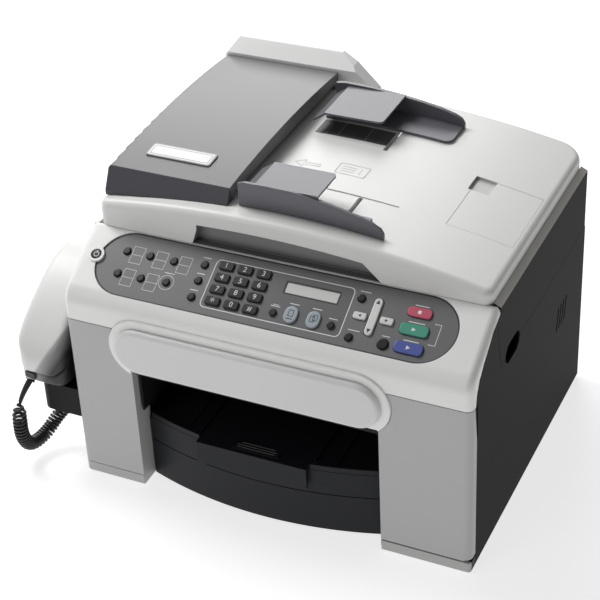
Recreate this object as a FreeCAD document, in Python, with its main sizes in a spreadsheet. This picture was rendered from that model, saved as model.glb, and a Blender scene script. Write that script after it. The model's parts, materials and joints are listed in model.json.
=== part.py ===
import FreeCAD, Part
import math
import os
import re
import Sketcher
from FreeCAD import Placement, Rotation, Vector

# A desktop ink-jet fax machine.  Z is up and the front faces -Y.  Everything is modelled in casing
# coordinates: x from the left side, y from the front face, z from the surface it stands on.
# Each finished node is then moved so that the machine's footprint is centred on the origin.

DIMENSIONS = {
    # casing
    "body_width": 398, "body_depth": 322, "wall": 2.5, "gap": 0.4, "foot_height": 3,
    "origin_x": 168, "origin_y": 171.5, "corner_radius": 7, "brow_radius": 20,
    "seam_height": 182, "panel_low": 210, "panel_top_y": 66, "side_top": 245, "lid_low": 247,
    "opening_left": 66, "opening_right": 312, "wrap_depth": 13, "return_depth": 24, "skirt_height": 13.5,
    # lid
    "lid_left": 7, "lid_right": 391, "lid_rear": 338, "crown_middle": 168, "crown_height": 283.6,
    "crown_radius": 1040, "shoulder_radius": 7,
    "lid_wall": 3, "lid_corner_radius": 26, "grip_left": 104.5, "grip_right": 290, "grip_top": 269,
    "grip_depth": 11,
    # document feeder
    "feeder_middle": 218, "feeder_arch": 1300, "feeder_left": 9, "feeder_right": 134, "feeder_front": 79,
    "feeder_rear": 332, "feeder_top": 300,
    # paper tray
    "tray_left": 67.2, "tray_right": 310.8, "tray_height": 72, "tray_depth": 300, "tray_bulge": 20,
    # control panel
    "plate_left": 20, "plate_right": 371, "plate_drop": 0.8, "plate_height": 65.5, "plate_sink": 1.2,
    "plate_thickness": 3.2, "key_gap": 0.45, "key_proud": 1.9, "key_depth": 4.6, "round_key_radius": 3.6,
    # front bar
    "bar_left": 54, "bar_right": 316, "bar_low": 141.5, "bar_high": 188.5, "bar_front": -8,
    "surround_margin": 8.5, "surround_proud": 2,
    # handset
    "handset_outer": -62, "handset_inner": -10, "cord_diameter": 15.2,
    # rollers and frame
    "axle_radius": 3, "axle_play": 0.06, "frame_left": 68, "frame_right": 310,
}

doc = FreeCAD.newDocument("fax_machine")
sheet = doc.addObject("Spreadsheet::Sheet", "dims")
for row, (alias, value) in enumerate(DIMENSIONS.items(), start=1):
    sheet.set("A%d" % row, alias)
    sheet.set("B%d" % row, str(value))
    sheet.setAlias("B%d" % row, alias)
doc.recompute()

D = dict(DIMENSIONS)
WORD = re.compile(r"[A-Za-z_]+")
nodes = []


# ---------------------------------------------------------------- small modelling helpers

def expression(value):
    """Write a size as a sheet expression: each word in it is a cell's alias."""
    return WORD.sub(lambda match: "dims." + match.group(0), str(value))


def bind(obj, prop, value):
    obj.setExpression(prop, expression(value))


def place(obj, corner):
    for axis, value in zip("xyz", corner):
        bind(obj, "Placement.Base." + axis, value)


def box(name, corner, size):
    obj = doc.addObject("Part::Box", name)
    for prop, value in zip(("Length", "Width", "Height"), size):
        bind(obj, prop, value)
    place(obj, corner)
    return obj


AXIS_TURN = {
    "x": Rotation(Vector(0, 1, 0), 90),
    "y": Rotation(Vector(1, 0, 0), -90),
    "z": Rotation(),
}


def rod(name, axis, start, radius, length):
    """A cylinder that starts at a point and runs along +x, +y or +z."""
    obj = doc.addObject("Part::Cylinder", name)
    obj.Placement = Placement(Vector(), AXIS_TURN[axis])
    bind(obj, "Radius", radius)
    bind(obj, "Height", length)
    place(obj, start)
    return obj


def join(name, *pieces):
    obj = doc.addObject("Part::MultiFuse", name)
    obj.Shapes = list(pieces)
    obj.Refine = True
    return obj


def cut(name, base, *tools):
    obj = doc.addObject("Part::Cut", name)
    obj.Base = base
    obj.Tool = tools[0] if len(tools) == 1 else join(name + "_tools", *tools)
    obj.Refine = True
    return obj


def common(name, *pieces):
    obj = doc.addObject("Part::MultiCommon", name)
    obj.Shapes = list(pieces)
    obj.Refine = True
    return obj


def rounded(name, base, radius, pick):
    """Fillet the edges of a piece that pick() accepts."""
    doc.recompute()
    obj = doc.addObject("Part::Fillet", name)
    obj.Base = base
    chosen = [i for i, edge in enumerate(base.Shape.Edges, start=1) if pick(edge)]
    if not chosen:
        raise RuntimeError("no edge to round on " + name)
    obj.Edges = [(i, radius, radius) for i in chosen]
    doc.recompute()
    if not obj.Shape.isValid() or obj.Shape.isNull():
        raise RuntimeError("rounding failed on " + name)
    return obj


def along(edge, axis):
    """True for a straight edge that runs along one axis."""
    if edge.Curve.TypeId != "Part::GeomLine":
        return False
    direction = edge.tangentAt(edge.FirstParameter)
    return abs(abs(getattr(direction, axis)) - 1) < 1e-6


def near(value, target):
    return abs(value - target) < 0.05


def profile(name, plane, start, depth, points):
    """A PartDesign body: a closed outline of straight lines, padded by depth from start.

    The outline's plane is YZ (padded along +x), XZ (along +y) or XY (along +z)."""
    body = doc.addObject("PartDesign::Body", name)
    sketch = body.newObject("Sketcher::SketchObject", name + "_sketch")
    plane_role = plane + "_Plane"
    origin_plane = [f for f in body.Origin.OriginFeatures if f.Role == plane_role][0]
    sketch.AttachmentSupport = [(origin_plane, "")]
    sketch.MapMode = "FlatFace"
    count = len(points)
    for i in range(count):
        a = 2 * math.pi * i / count
        b = 2 * math.pi * (i + 1) / count
        first = Vector(100 * math.cos(a), 100 * math.sin(a), 0)
        second = Vector(100 * math.cos(b), 100 * math.sin(b), 0)
        sketch.addGeometry(Part.LineSegment(first, second), False)
    for i in range(count):
        sketch.addConstraint(Sketcher.Constraint("Coincident", i, 2, (i + 1) % count, 1))
    for i, (u, v) in enumerate(points):
        for kind, value in (("DistanceX", u), ("DistanceY", v)):
            index = sketch.addConstraint(Sketcher.Constraint(kind, -1, 1, i, 1, 10.0))
            bind(sketch, "Constraints[%d]" % index, value)
    flip = plane == "XZ"
    offset = "-(%s)" % start if flip else start
    bind(sketch, "AttachmentOffset.Base.z", offset)
    pad = body.newObject("PartDesign::Pad", name + "_pad")
    pad.Profile = sketch
    bind(pad, "Length", depth)
    pad.Reversed = flip
    body.Tip = pad
    return body


def stadium(name, plane, left, right, low, high, start, depth):
    """A round-ended bar: flat ends at start and start + depth, along y (XZ) or z (XY)."""
    radius = "(%s - (%s)) / 2" % (high, low)
    middle = "(%s + (%s)) / 2" % (high, low)
    inner_left = "%s + %s" % (left, radius)
    inner_right = "%s - %s" % (right, radius)
    length = "%s - (%s) - 2 * (%s)" % (right, left, radius)
    height = "%s - (%s)" % (high, low)
    if plane == "XZ":
        bar = box(name + "_bar", (inner_left, start, low), (length, depth, height))
        ends = [rod(name + "_end%d" % i, "y", (x, start, middle), radius, depth)
                for i, x in enumerate((inner_left, inner_right))]
    else:
        bar = box(name + "_bar", (inner_left, low, start), (length, height, depth))
        ends = [rod(name + "_end%d" % i, "z", (x, middle, start), radius, depth)
                for i, x in enumerate((inner_left, inner_right))]
    return join(name, bar, *ends)


def node(name, *pieces, turn=None):
    """Finish a sub-part: its solids in one compound, in the machine's frame."""
    obj = doc.addObject("Part::Compound", "node_" + name)
    obj.Links = list(pieces)
    if turn is None:
        place(obj, ("-origin_x", "-origin_y", "0"))
    else:
        obj.Placement = turn
    obj.Label = name
    nodes.append(obj)
    return obj


def feature(name, shape):
    obj = doc.addObject("Part::Feature", name)
    obj.Shape = shape
    return obj


# ---------------------------------------------------------------- control panel frame
# On the sloped panel a point is (x, drop, lift): x across, drop down the slope from the lid line,
# lift out of the surface.

SLOPE = math.degrees(math.atan2(D["lid_low"] - D["panel_low"], D["panel_top_y"]))
PANEL_TURN = Rotation(Vector(1, 0, 0), SLOPE)
PANEL_CORNER = Vector(0, D["panel_top_y"], D["lid_low"])
ON_PANEL = Placement(PANEL_CORNER, PANEL_TURN)
PANEL_NODE = Placement(PANEL_CORNER - Vector(D["origin_x"], D["origin_y"], 0), PANEL_TURN)

DIAL_COLUMNS = (145.5, 164, 182.5)
DIAL_ROWS = (15, 27, 39, 51)
DIAL_NAMES = ("key_1", "key_2", "key_3", "key_4", "key_5", "key_6",
              "key_7", "key_8", "key_9", "key_star", "key_0", "key_hash")
DIAL_KEY = (14.5, 8.6)
ROUND_KEYS = ((45.5, 21), (69.5, 21), (94, 21), (45.5, 44.5), (69.5, 44.5), (95, 43),
              (124.2, 18), (124.2, 34.5), (124.2, 51.5), (204, 49), (259.5, 49), (277.5, 17.5), (278.7, 56))
MODE_KEYS = (("fax_mode_key", 221), ("copy_mode_key", 242.5))
MODE_KEY_DROP = 47.5
MODE_KEY = (12.5, 16.5)
START_KEYS = (("stop_key", 332.5, 19.5, 22, 9), ("colour_start_key", 332.7, 36.5, 26, 10.5),
              ("mono_start_key", 333.4, 54, 26, 10.5))
SIDE_KEYS = (("left_key", 281.6, 34.2), ("right_key", 306.6, 33.8))
SIDE_KEY = (12, 6.5)
ROCKER = (294, 32.5, 7.5, 36)
ROUND_OTHERS = (("ok_key", 310.2, 55.2, 5), ("power_key", 17.6, 31, 4.8))
DISPLAY = (231.8, 22.2, 50.5, 10.5)
FINE_EDGE = 0.8


def panel_oval(name, x, drop, width, height, radius, low, high):
    """A rounded rectangle on the panel, as a solid between two lifts."""
    half_w = width / 2.0
    half_h = height / 2.0
    left, right, down, up = x - half_w, x + half_w, -drop - half_h, -drop + half_h
    shape = Part.makeBox(width, height, high - low, Vector(left, down, low))
    upright = [e for e in shape.Edges if abs(e.tangentAt(e.FirstParameter).z) > 0.99]
    return feature(name, shape.makeFillet(min(radius, half_w - 0.01, half_h - 0.01), upright))


def key_cap(node_name, x, drop, width, height, radius, crown=FINE_EDGE):
    """A key: a rounded block whose upper rim is softened, standing a little out of the plate."""
    top = -D["plate_sink"] + D["key_proud"]
    blank = panel_oval(node_name + "_blank", x, drop, width, height, radius, top - D["key_depth"], top)
    cap = rounded(node_name + "_cap", blank, crown,
                  lambda e: near(e.BoundBox.ZMin, top) and near(e.BoundBox.ZMax, top))
    return cap


def key_holes():
    """Clearance holes in the plate for every key and for the display window."""
    low = -D["plate_sink"] - D["plate_thickness"] - 1
    high = 1
    g = 2 * D["key_gap"]
    spots = []
    for i, row in enumerate(DIAL_ROWS):
        spots += [(x, row, DIAL_KEY[0] + g, DIAL_KEY[1] + g, 2.5) for x in DIAL_COLUMNS]
    size = 2 * D["round_key_radius"] + g
    spots += [(x, drop, size, size, size) for x, drop in ROUND_KEYS]
    spots += [(x, MODE_KEY_DROP, MODE_KEY[0] + g, MODE_KEY[1] + g, 9) for _, x in MODE_KEYS]
    spots += [(x, drop, w + g, h + g, 4) for _, x, drop, w, h in START_KEYS]
    spots += [(x, drop, SIDE_KEY[0] + g, SIDE_KEY[1] + g, 2) for _, x, drop in SIDE_KEYS]
    spots += [(ROCKER[0], ROCKER[1], ROCKER[2] + 2 * g, ROCKER[3] + g, 4)]
    spots += [(x, drop, 2 * r + g, 2 * r + g, r + 1) for _, x, drop, r in ROUND_OTHERS[:1]]
    spots += [(DISPLAY[0], DISPLAY[1], DISPLAY[2] + 0.2, DISPLAY[3] + 0.2, 1)]
    return [panel_oval("hole_%02d" % i, x, drop, w, h, r, low, high)
            for i, (x, drop, w, h, r) in enumerate(spots)]


def panel_stadium(name, margin, low, high):
    left = D["plate_left"] - margin
    right = D["plate_right"] + margin
    height = D["plate_height"] + 2 * margin
    drop = D["plate_drop"] + D["plate_height"] / 2
    return panel_oval(name, (left + right) / 2, drop, right - left, height, height, low, high)


def make_panel():
    """The recessed plate with all its keys and the display."""
    top = -D["plate_sink"]
    bottom = top - D["plate_thickness"]
    face = panel_stadium("plate_face", 0, bottom, top)
    flange = panel_stadium("plate_flange", 1.5, bottom, -D["wall"] - 0.4)
    x, drop, radius = ROUND_OTHERS[1][1:]
    boss = panel_oval("plate_boss_gap", x, drop, 2 * radius + 7, 2 * radius + 7, 20, bottom - 1, 1)
    plate = cut("plate", join("plate_blank", face, flange), boss, *key_holes())
    node("panel_plate", plate, turn=PANEL_NODE)
    window = panel_oval("display_window", *DISPLAY, 1, bottom, top - 0.4)
    module = panel_oval("display_module", DISPLAY[0], DISPLAY[1], 58, 15, 1, bottom - 3, bottom - 0.05)
    node("display", join("display_unit", window, module), turn=PANEL_NODE)
    for i, name in enumerate(DIAL_NAMES):
        cap = key_cap(name, DIAL_COLUMNS[i % 3], DIAL_ROWS[i // 3], *DIAL_KEY, 2)
        node(name, cap, turn=PANEL_NODE)
    size = 2 * D["round_key_radius"]
    caps = [key_cap("round_%02d" % i, x, drop, size, size, size) for i, (x, drop) in enumerate(ROUND_KEYS)]
    node("round_keys", *caps, turn=PANEL_NODE)
    for name, x in MODE_KEYS:
        node(name, key_cap(name, x, MODE_KEY_DROP, *MODE_KEY, 8), turn=PANEL_NODE)
    for name, x, drop, width, height in START_KEYS:
        node(name, key_cap(name, x, drop, width, height, 3.5), turn=PANEL_NODE)
    for name, x, drop in SIDE_KEYS:
        node(name, key_cap(name, x, drop, *SIDE_KEY, 1.6), turn=PANEL_NODE)
    node("rocker_key", key_cap("rocker_key", *ROCKER, 3.5), turn=PANEL_NODE)
    for name, x, drop, radius in ROUND_OTHERS:
        node(name, key_cap(name, x, drop, 2 * radius, 2 * radius, radius), turn=PANEL_NODE)


# ---------------------------------------------------------------- control housing and front bar

# The line between the white housing and the dark side cover, from the front seam up to the lid.
SIDE_LINE = ((13, 150), (9, 181), (11.5, 194), (17.5, 205), (28, 215), (51, 232), (61, 236.5))
SIDE_SEAM = ((66.5, 206), (72.5, 182))


def make_control_housing():
    """White shell behind the keys: front wall, sloped wall, side cheeks and the raised surround."""
    outer = profile("housing_outer", "YZ", 0, "body_width",
                    [(0, "seam_height + gap"), (0, "panel_low"),
                     ("panel_top_y + 2", "lid_low + 2 * (lid_low - panel_low) / panel_top_y"),
                     ("panel_top_y + 2", "seam_height + gap")])
    brow = rounded("housing_brow", outer, D["brow_radius"],
                   lambda e: along(e, "x") and near(e.BoundBox.YMin, 0) and near(e.BoundBox.ZMin,
                           D["panel_low"]))
    w = D["body_width"]
    soft = rounded("housing_soft", brow, D["corner_radius"],
                   lambda e: (near(e.BoundBox.XMin, 0) and near(e.BoundBox.XMax, 0)
                              or near(e.BoundBox.XMin, w) and near(e.BoundBox.XMax, w))
                   and e.BoundBox.YMin < 60 and e.BoundBox.ZMax > D["seam_height"] + 1)
    level = box("housing_level", (-5, -20, 0), ("body_width + 10", 200, "lid_low - 0.3"))
    cavity = profile("housing_cavity", "YZ", "wall", "body_width - 2 * wall",
                     [("wall", 150), ("wall", "panel_low - 1.4"),
                      ("panel_top_y + 6", "lid_low - 2.9 + 6 * (lid_low - panel_low) / panel_top_y"),
                      ("panel_top_y + 6", 150)])
    cavity_brow = rounded("housing_cavity_brow", cavity, D["brow_radius"] - D["wall"],
                          lambda e: along(e, "x") and near(e.BoundBox.YMin, D["wall"])
                          and near(e.BoundBox.ZMin, D["panel_low"] - 1.4))
    surround = stadium("surround", "XZ", "bar_left - surround_margin", "bar_right + surround_margin",
                       "bar_low - surround_margin", "bar_high + surround_margin",
                       "-surround_proud", "wall + surround_proud")
    relief = box("surround_relief", ("opening_left + 0.2", -10, 100),
                 ("opening_right - opening_left - 0.4", 20, "bar_low - 100"))
    surround_soft = cut("surround_trimmed", rounded("surround_soft", surround, 1.6, lambda e: near(
        e.BoundBox.YMax, -D["surround_proud"])), relief)
    shell = cut("housing_shell", common("housing_trimmed", soft, level), cavity_brow)
    x, drop, radius = ROUND_OTHERS[1][1:]
    ring = panel_oval("power_ring", x, drop, 2 * radius + 6, 2 * radius + 6, 20, -4, 1)
    ring_hole = panel_oval("power_ring_hole", x, drop, 2 * radius + 0.9, 2 * radius + 0.9, 20, -8, 3)
    plate_hole = panel_stadium("plate_hole", 0.4, -8, 8)
    for piece in (ring, ring_hole, plate_hole):
        piece.Placement = ON_PANEL
    cheeks = [profile("cheek_gap_%d" % i, "YZ", start, "wall + 1",
                      [(D["wrap_depth"], 120)] + [(y - 0.1, z + 0.35) for y, z in SIDE_LINE]
                      + [(70.2, 241.4), (80, 244), (80, 120)])
              for i, start in enumerate((-1, "body_width - wall"))]
    base = join("housing_with_surround", cut("housing_windowed", shell, plate_hole), surround_soft, ring)
    node("control_housing", cut("housing", base, ring_hole, *cheeks))


def make_front_bar():
    """Round-ended bar that snaps onto the surround above the paper opening."""
    bar = stadium("bar", "XZ", "bar_left", "bar_right", "bar_low", "bar_high",
                  "bar_front", "-bar_front - surround_proud - 0.1")
    node("front_bar", rounded("bar_soft", bar, 4, lambda e: near(e.BoundBox.YMax, D["bar_front"])))


# ---------------------------------------------------------------- lower case

def make_side_covers():
    """Two dark side covers. Their upper front part runs up beside the control housing."""
    outline = ([("wrap_depth + gap", "foot_height")] + [(y + 0.3, z) for y, z in SIDE_LINE[:1]]
               + [(y + 0.35, z - 0.3) for y, z in SIDE_LINE[1:]] + list(SIDE_SEAM)
               + [("body_depth", "seam_height"), ("body_depth", "foot_height")])
    for side, start in (("left", 0), ("right", "body_width - wall")):
        sheet_piece = profile(side + "_side", "YZ", start, "wall", outline)
        finger = stadium_side(side + "_finger", start)
        tools = [finger]
        if side == "right":
            tools += [slanted_vent(i) for i in range(4)]
            tools.append(box("latch_slot", ("body_width - wall - 1", "wrap_depth + gap - 1", 146),
                    (5, 2.2, 36)))
        else:
            tools.append(box("cord_jack_hole", (-1, 54, 52), (5, 13, 11)))
        node(side + "_side_cover", cut(side + "_side_cut", sheet_piece, *tools))


def stadium_side(name, start):
    """Finger hold across the side seam, as a round-ended opening along y."""
    ends = [rod(name + "_end%d" % i, "x", ("%s - 1" % start, y, "seam_height"), 10, "wall + 2")
            for i, y in enumerate((95, 113))]
    middle = box(name + "_middle", ("%s - 1" % start, 95, "seam_height - 10"), ("wall + 2", 18, 20))
    return join(name, middle, *ends)


def slanted_vent(index):
    """One of the narrow cooling slots low on the right side, leaning back at the top."""
    vent = doc.addObject("Part::Box", "vent_%d" % index)
    bind(vent, "Length", "wall + 2")
    bind(vent, "Width", 3)
    bind(vent, "Height", 26)
    vent.Placement = Placement(Vector(), Rotation(Vector(1, 0, 0), -12))
    place(vent, ("body_width - wall - 1", 236 + 8 * index, 110))
    return vent


def make_front_covers():
    """Left front cover (fixed) and right front cover, which opens on the ink cartridges."""
    clearance = stadium("cover_clearance", "XZ", "bar_left - surround_margin - gap",
                        "bar_right + surround_margin + gap", "bar_low - surround_margin - gap",
                        "bar_high + surround_margin + gap", -20, "20 + wall + gap")
    outer = box("left_front_outer", (0, 0, "foot_height + 0.2"),
                ("opening_left", "return_depth", "seam_height - foot_height - 0.6"))
    outer_soft = rounded("left_front_soft", outer, D["corner_radius"],
                         lambda e: along(e, "z") and near(e.BoundBox.XMin, 0) and near(e.BoundBox.YMin, 0))
    inner = box("left_front_inner", ("wall", "wall", 0),
            ("opening_left - 2 * wall", 50, "seam_height - wall"))
    inner_soft = rounded("left_front_inner_soft", inner, D["corner_radius"] - D["wall"],
                         lambda e: along(e, "z") and near(e.BoundBox.XMin, D["wall"])
                         and near(e.BoundBox.YMin, D["wall"]))
    lean = [profile("cover_lean_%d" % i, "YZ", start, "wall + 1.4",
                    [(13, 145), (7.9, 182), (20, 184), (20, 145)]) for i, start in enumerate((-1,
                            "body_width - wall - 0.4"))]
    trim = box("left_front_trim", (-1, "wrap_depth", 0), ("wall + 1.4", 40, "seam_height + 5"))
    top_trim = box("left_front_top_trim", (-1, 13, "seam_height - wall - 1"), ("opening_left + 5", 40, 10))
    groove = box("left_front_groove", (-1, -1, "skirt_height"), ("opening_left + 2", 1.5, 0.8))
    node("left_front_cover", cut("left_front", outer_soft, inner_soft, lean[0], trim, top_trim, clearance,
            groove))

    right_outer = box("ink_cover_outer", ("opening_right", 0, "skirt_height + 2.5"),
                      ("body_width - opening_right", "wrap_depth", "seam_height - skirt_height - 2.9"))
    right_soft = rounded("ink_cover_soft", right_outer, D["corner_radius"],
                         lambda e: along(e, "z") and near(e.BoundBox.XMin, D["body_width"])
                         and near(e.BoundBox.YMin, 0))
    hollow = box("ink_cover_hollow", ("opening_right + wall", "wall", 0),
                 ("body_width - opening_right - 2 * wall", 50, "seam_height - wall"))
    hollow_soft = rounded("ink_cover_hollow_soft", hollow, D["corner_radius"] - D["wall"],
                          lambda e: along(e, "z") and near(e.BoundBox.XMin, D["body_width"] - D["wall"])
                          and near(e.BoundBox.YMin, D["wall"]))
    knuckle = rod("ink_cover_knuckle", "x", ("opening_right", 2, "skirt_height + 2.5"), 2,
                  "body_width - opening_right - 6")
    shell = cut("ink_cover_shell", right_soft, hollow_soft, lean[1], clearance)
    node("ink_cover", join("ink_cover_joined", shell, knuckle))


def make_rear_cover():
    """Rear cover with one opening round the mains inlet and the telephone jacks, and a row of vents."""
    plate = box("rear_plate", ("wall + 0.5", "body_depth - wall", "foot_height + 0.2"),
                ("body_width - 2 * wall - 1", "wall", "seam_height - foot_height - 0.6"))
    sockets = box("rear_socket_gap", (314.6, "body_depth - 5", 10.1), (62.8, 10, 24.8))
    vents = [box("rear_vent_%d" % i, (60 + 14 * i, "body_depth - 5", 100), (5, 10, 60)) for i in range(10)]
    node("rear_cover", cut("rear", plate, sockets, *vents))


def make_base_pan():
    """Floor of the case, the two walls of the paper bay and the lip under the ink cover."""
    floor = box("pan_floor", ("wall + 0.5", "wall + 0.6", "foot_height"),
                ("body_width - 2 * wall - 1", "body_depth - 2 * wall - 0.8", 3))
    floor_soft = rounded("pan_floor_soft", floor, 5, lambda e: along(e, "z") and near(e.BoundBox.YMin, 3.1)
                         and near(e.BoundBox.XMin, 3))
    slot = box("pan_cover_slot", ("opening_left - wall - 0.4", 0, 0),
            ("wall + 0.8", "return_depth + gap", 8))
    mouth = box("pan_mouth", ("opening_left - gap", -1, 0),
            ("opening_right - opening_left + 2 * gap", 23, 8))
    left_wall = box("pan_left_wall", ("opening_left - wall", "return_depth + 0.6", "foot_height"),
                    (2, "308 - return_depth - 0.6", 127))
    right_wall = box("pan_right_wall", ("opening_right + 0.4", 14, "foot_height"), (2, 294, 127))
    lip = box("pan_lip", ("opening_right", 0, "foot_height"),
            ("body_width - opening_right - wall", 4, "skirt_height - foot_height - 0.2"))
    lip_end = box("pan_lip_end", ("body_width - wall - 2", 0, "foot_height"),
            ("wall + 2", "wrap_depth", "skirt_height - foot_height - 0.2"))
    lip_soft = rounded("pan_lip_soft", join("pan_lip_joined", lip, lip_end), D["corner_radius"] - 4,
                       lambda e: along(e, "z") and near(e.BoundBox.XMin,
                               D["body_width"]) and near(e.BoundBox.YMin, 0))
    feet_holes = [rod("pan_foot_hole_%d" % i, "z", (x, y, 0), 3.5, 8) for i, (x, y) in enumerate(FEET)]
    node("base_pan", cut("pan", join("pan_joined", floor_soft, left_wall, right_wall, lip_soft), slot,
            mouth, *feet_holes))


FEET = ((30, 30), (368, 30), (30, 292), (368, 292))


def make_feet():
    """Four rubber feet, each with a stud that plugs into the pan."""
    pieces = []
    for i, (x, y) in enumerate(FEET):
        pad = rod("foot_pad_%d" % i, "z", (x, y, 0), 9, "foot_height")
        pad_soft = rounded("foot_soft_%d" % i, pad, 0.8, lambda e: near(e.BoundBox.ZMax, 0))
        stud = rod("foot_stud_%d" % i, "z", (x, y, 1), 3.5, 5)
        pieces.append(join("foot_%d" % i, pad_soft, stud))
    node("feet", *pieces)


# ---------------------------------------------------------------- inside the lower case

CARRIAGE_RAIL = (150, 150, 5)
EJECT_AXLE = (62, 108)
FEED_AXLE = (268, 104)


def make_inner_frame():
    """Chassis: two side plates joined by rails, with bearings for the rollers."""
    sides = [box("frame_side_%d" % i, (x, 8, 88), (2, 292, 88))
             for i, x in enumerate(("frame_left", "frame_right - 2"))]
    front_rail = box("frame_front_rail", ("frame_left", 3, 133), ("frame_right - frame_left", 9, 8))
    rear_rail = box("frame_rear_rail", ("frame_left", 296, 88), ("frame_right - frame_left", 4, 88))
    top_plate = box("frame_top", ("frame_left", 196, 172), ("frame_right - frame_left", 104, 3))
    y, z, radius = CARRIAGE_RAIL
    rail = rod("frame_carriage_rail", "x", ("frame_left", y, z), radius, "frame_right - frame_left")
    bores = [rod("frame_bore_%d" % i, "x", ("frame_left - 1", y, z), "axle_radius + axle_play",
                 "frame_right - frame_left + 2") for i, (y, z) in enumerate((EJECT_AXLE, FEED_AXLE))]
    frame = cut("frame", join("frame_joined", *sides, front_rail, rear_rail, top_plate), *bores)
    node("inner_frame", join("frame_with_rail", frame, rail))


def make_rollers():
    """Feed roller with one wide sleeve and eject roller with five narrow ones."""
    for name, (y, z), radius, sleeves in (
            ("feed_roller", FEED_AXLE, 14, ((150, 78),)),
            ("eject_roller", EJECT_AXLE, 8, tuple((90 + 44 * i, 18) for i in range(5)))):
        axle = rod(name + "_axle", "x", ("frame_left - 2", y, z), "axle_radius",
                "frame_right - frame_left + 4")
        tyres = [rod("%s_sleeve_%d" % (name, i), "x", (x, y, z), radius, w) for i, (x,
                w) in enumerate(sleeves)]
        flat = box(name + "_flat", ("frame_right + 0.5", y - 3, z + 2), (4, 6, 3))
        node(name, cut(name + "_cut", join(name + "_joined", axle, *tyres), flat))


def make_print_carriage():
    """Carriage on the round rail, with its bearing and the print head underneath."""
    y, z, radius = CARRIAGE_RAIL
    block = box("carriage_block", (240, y - 26, z - 14), (52, 44, 34))
    head = box("carriage_head", (252, y - 22, z - 22), (28, 18, 9))
    bore = rod("carriage_bore", "x", (230, y, z), radius + D["axle_play"], 80)
    shape = rounded("carriage_soft", join("carriage_joined", block, head), 3,
                    lambda e: along(e, "z") and e.Length > 20)
    node("print_carriage", cut("carriage", shape, bore))


def make_ink_cartridges():
    """Four cartridges side by side behind the ink cover."""
    pieces = []
    for i in range(4):
        body = box("ink_%d" % i, (320 + 17 * i, 18, 44), (15, 78, 62))
        tab = box("ink_tab_%d" % i, (324 + 17 * i, 14, 92), (7, 6, 8))
        pieces.append(rounded("ink_soft_%d" % i, join("ink_joined_%d" % i, body, tab), 1.5,
                              lambda e: along(e, "y") and e.Length > 60))
    node("ink_cartridges", *pieces)


def make_main_board():
    """Circuit board with its larger components, the telephone jacks and the mains inlet."""
    board = box("board", (316, 150, 9), (76, 150, 1.6))
    legs = [box("board_leg_%d" % i, (x, y, 6.1), (4, 4, 3)) for i, (x,
            y) in enumerate(((318, 152), (386, 152), (318, 294), (386, 294)))]
    chips = [box("board_chip_%d" % i, (x, y, 10.5), (w, d, t)) for i, (x, y, w, d, t) in enumerate(
        ((330, 170, 28, 28, 2.5), (366, 176, 14, 20, 2.2), (334, 214, 18, 10, 3), (362, 212, 22, 30, 22)))]
    cans = [rod("board_can_%d" % i, "z", (x, y, 10.5), 6, 18) for i, (x,
            y) in enumerate(((328, 246), (344, 246), (328, 262)))]
    jacks = []
    for i, (x, width, socket_x) in enumerate(((315, 16.4, 317), (331.6, 18, 334))):
        block = box("jack_%d" % i, (x, 288, 10.65), (width, 33.6, 24))
        socket = box("jack_socket_%d" % i, (socket_x, 309, 16), (11, 15, 8))
        jacks.append(cut("jack_cut_%d" % i, block, socket))
    inlet = box("inlet", (349.8, 288, 10.65), (27.2, 33.6, 24))
    mouth = box("inlet_mouth", (354, 306, 17), (19, 18, 13))
    pins = [rod("inlet_pin_%d" % i, "y", (x, 304, 23.5), 1.2, 14) for i, x in enumerate((360, 367))]
    inlet_cut = join("inlet_joined", cut("inlet_cut", inlet, mouth), *pins)
    node("main_board", join("board_joined", board, *legs, *chips, *cans), *jacks, inlet_cut)


SCREW_SPOTS = ((20, 100), (372, 100), (20, 230), (372, 230), (120, 310), (270, 310))


def make_screws():
    """Pan-head screws that come up through the floor pan."""
    pieces = []
    for i, (x, y) in enumerate(SCREW_SPOTS):
        head = rod("screw_head_%d" % i, "z", (x, y, 6.02), 3.5, 2.2)
        slot = box("screw_slot_%d" % i, (x - 4, y - 0.5, 7.4), (8, 1, 2))
        cross = box("screw_cross_%d" % i, (x - 0.5, y - 4, 7.4), (1, 8, 2))
        pieces.append(cut("screw_%d" % i, head, slot, cross))
    node("screws", *pieces)


# ---------------------------------------------------------------- paper tray

def tray_outline(name, grow, low, high, margin):
    """Tray plan with a bowed front, between two heights; grow moves every side outwards."""
    bulge = D["tray_bulge"]
    half = (D["tray_right"] - D["tray_left"]) / 2.0
    radius = (half ** 2 + bulge ** 2) / (2 * bulge)
    middle = (D["tray_right"] + D["tray_left"]) / 2.0
    disc = rod(name + "_disc", "z", (middle, radius - grow, low), radius, high - low)
    slab = box(name + "_slab", ("tray_left - (%s)" % grow, -20, low),
               ("tray_right - tray_left + 2 * (%s)" % grow, "20 + tray_depth + (%s)" % margin, high - low))
    return common(name, disc, slab)


def make_paper_tray():
    """Cassette with a bowed front, an open top and a finger notch under the front."""
    base = tray_outline("tray_base", 0, 7, D["tray_height"], 0)
    pocket = tray_outline("tray_pocket", -3, 10, D["tray_height"] + 5, -3)
    band = cut("tray_band", tray_outline("tray_band_outer", 2, 45, 46, 0),
            tray_outline("tray_band_inner", -0.8, 44, 47, 40))
    apron = common("tray_apron", tray_outline("tray_apron_plan", 0, 3.4, 8, 0),
                   box("tray_apron_block", (60, -25, 0), (260, 46, 20)))
    rear_gap = box("tray_rear_gap", (100, "tray_depth - 10", 30), (178, 30, 60))
    node("paper_tray", cut("tray", join("tray_with_apron", base, apron), pocket, band, rear_gap))


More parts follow.
